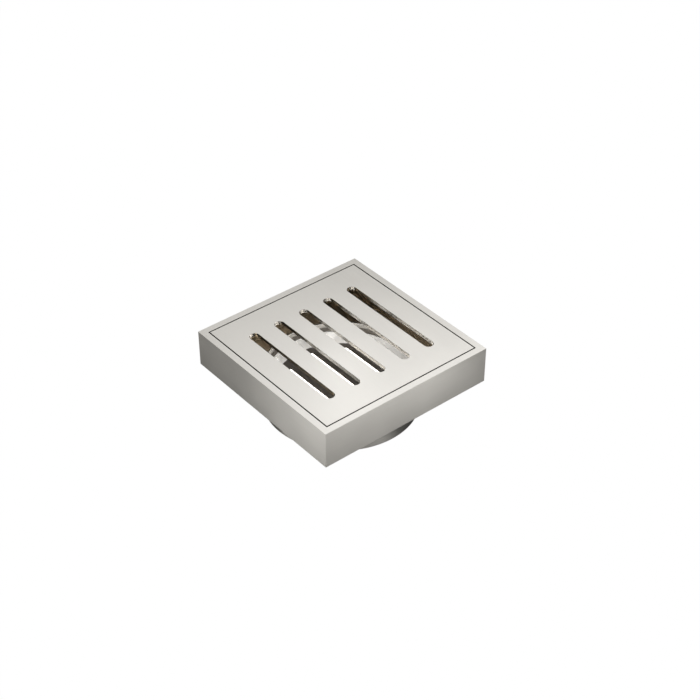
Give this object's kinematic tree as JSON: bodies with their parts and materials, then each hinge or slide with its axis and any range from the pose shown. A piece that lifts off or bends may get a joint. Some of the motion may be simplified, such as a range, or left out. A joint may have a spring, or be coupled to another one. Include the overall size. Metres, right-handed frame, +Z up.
{
  "type": "square floor drain with slotted grate",
  "caption": "Square brushed metal floor drain: a shallow tray with a flush lift-out slotted grate, a round outlet spigot below and a lift-out bell trap inside.",
  "frame": {"origin": "centre of the spigot's bottom rim, which is the centre of the whole object's base", "axes": "+Z up, out of the grate; the slots run along X; +Y across the slots"},
  "size_m": [0.1, 0.1, 0.037],
  "materials": {
    "brushed_nickel": "fine satin brushed nickel, slightly warm",
    "inner_steel": "plain drawn steel, duller than the outside",
    "cup_plastic": "plain moulded plastic, light warm grey",
    "lip_rubber": "matt grey rubber",
    "pad_rubber": "matt black rubber"
  },
  "bodies": {
    "tray": {"tray_frame": "brushed_nickel", "tray_floor": "inner_steel", "outlet_spigot": "brushed_nickel", "corner_ledge_1": "inner_steel", "corner_ledge_2": "inner_steel", "corner_ledge_3": "inner_steel", "corner_ledge_4": "inner_steel", "ledge_pad_1": "pad_rubber", "ledge_pad_2": "pad_rubber", "ledge_pad_3": "pad_rubber", "ledge_pad_4": "pad_rubber"},
    "grate": {"grate_plate": "brushed_nickel"},
    "cup": {"trap_cup": "cup_plastic", "cup_lip_seal": "lip_rubber", "standpipe": "cup_plastic"},
    "bell": {"trap_bell": "inner_steel", "bell_leg_1": "inner_steel", "bell_leg_2": "inner_steel", "bell_leg_3": "inner_steel"}
  },
  "joints": [
    {"name": "grate_lift", "type": "slide", "parent": "tray", "child": "grate", "axis": [0, 0, 1], "range_m": [0, 0.04]},
    {"name": "cup_lift", "type": "slide", "parent": "tray", "child": "cup", "axis": [0, 0, 1], "range_m": [0, 0.01]},
    {"name": "bell_lift", "type": "slide", "parent": "cup", "child": "bell", "axis": [0, 0, 1], "range_m": [0, 0.013]}
  ]
}
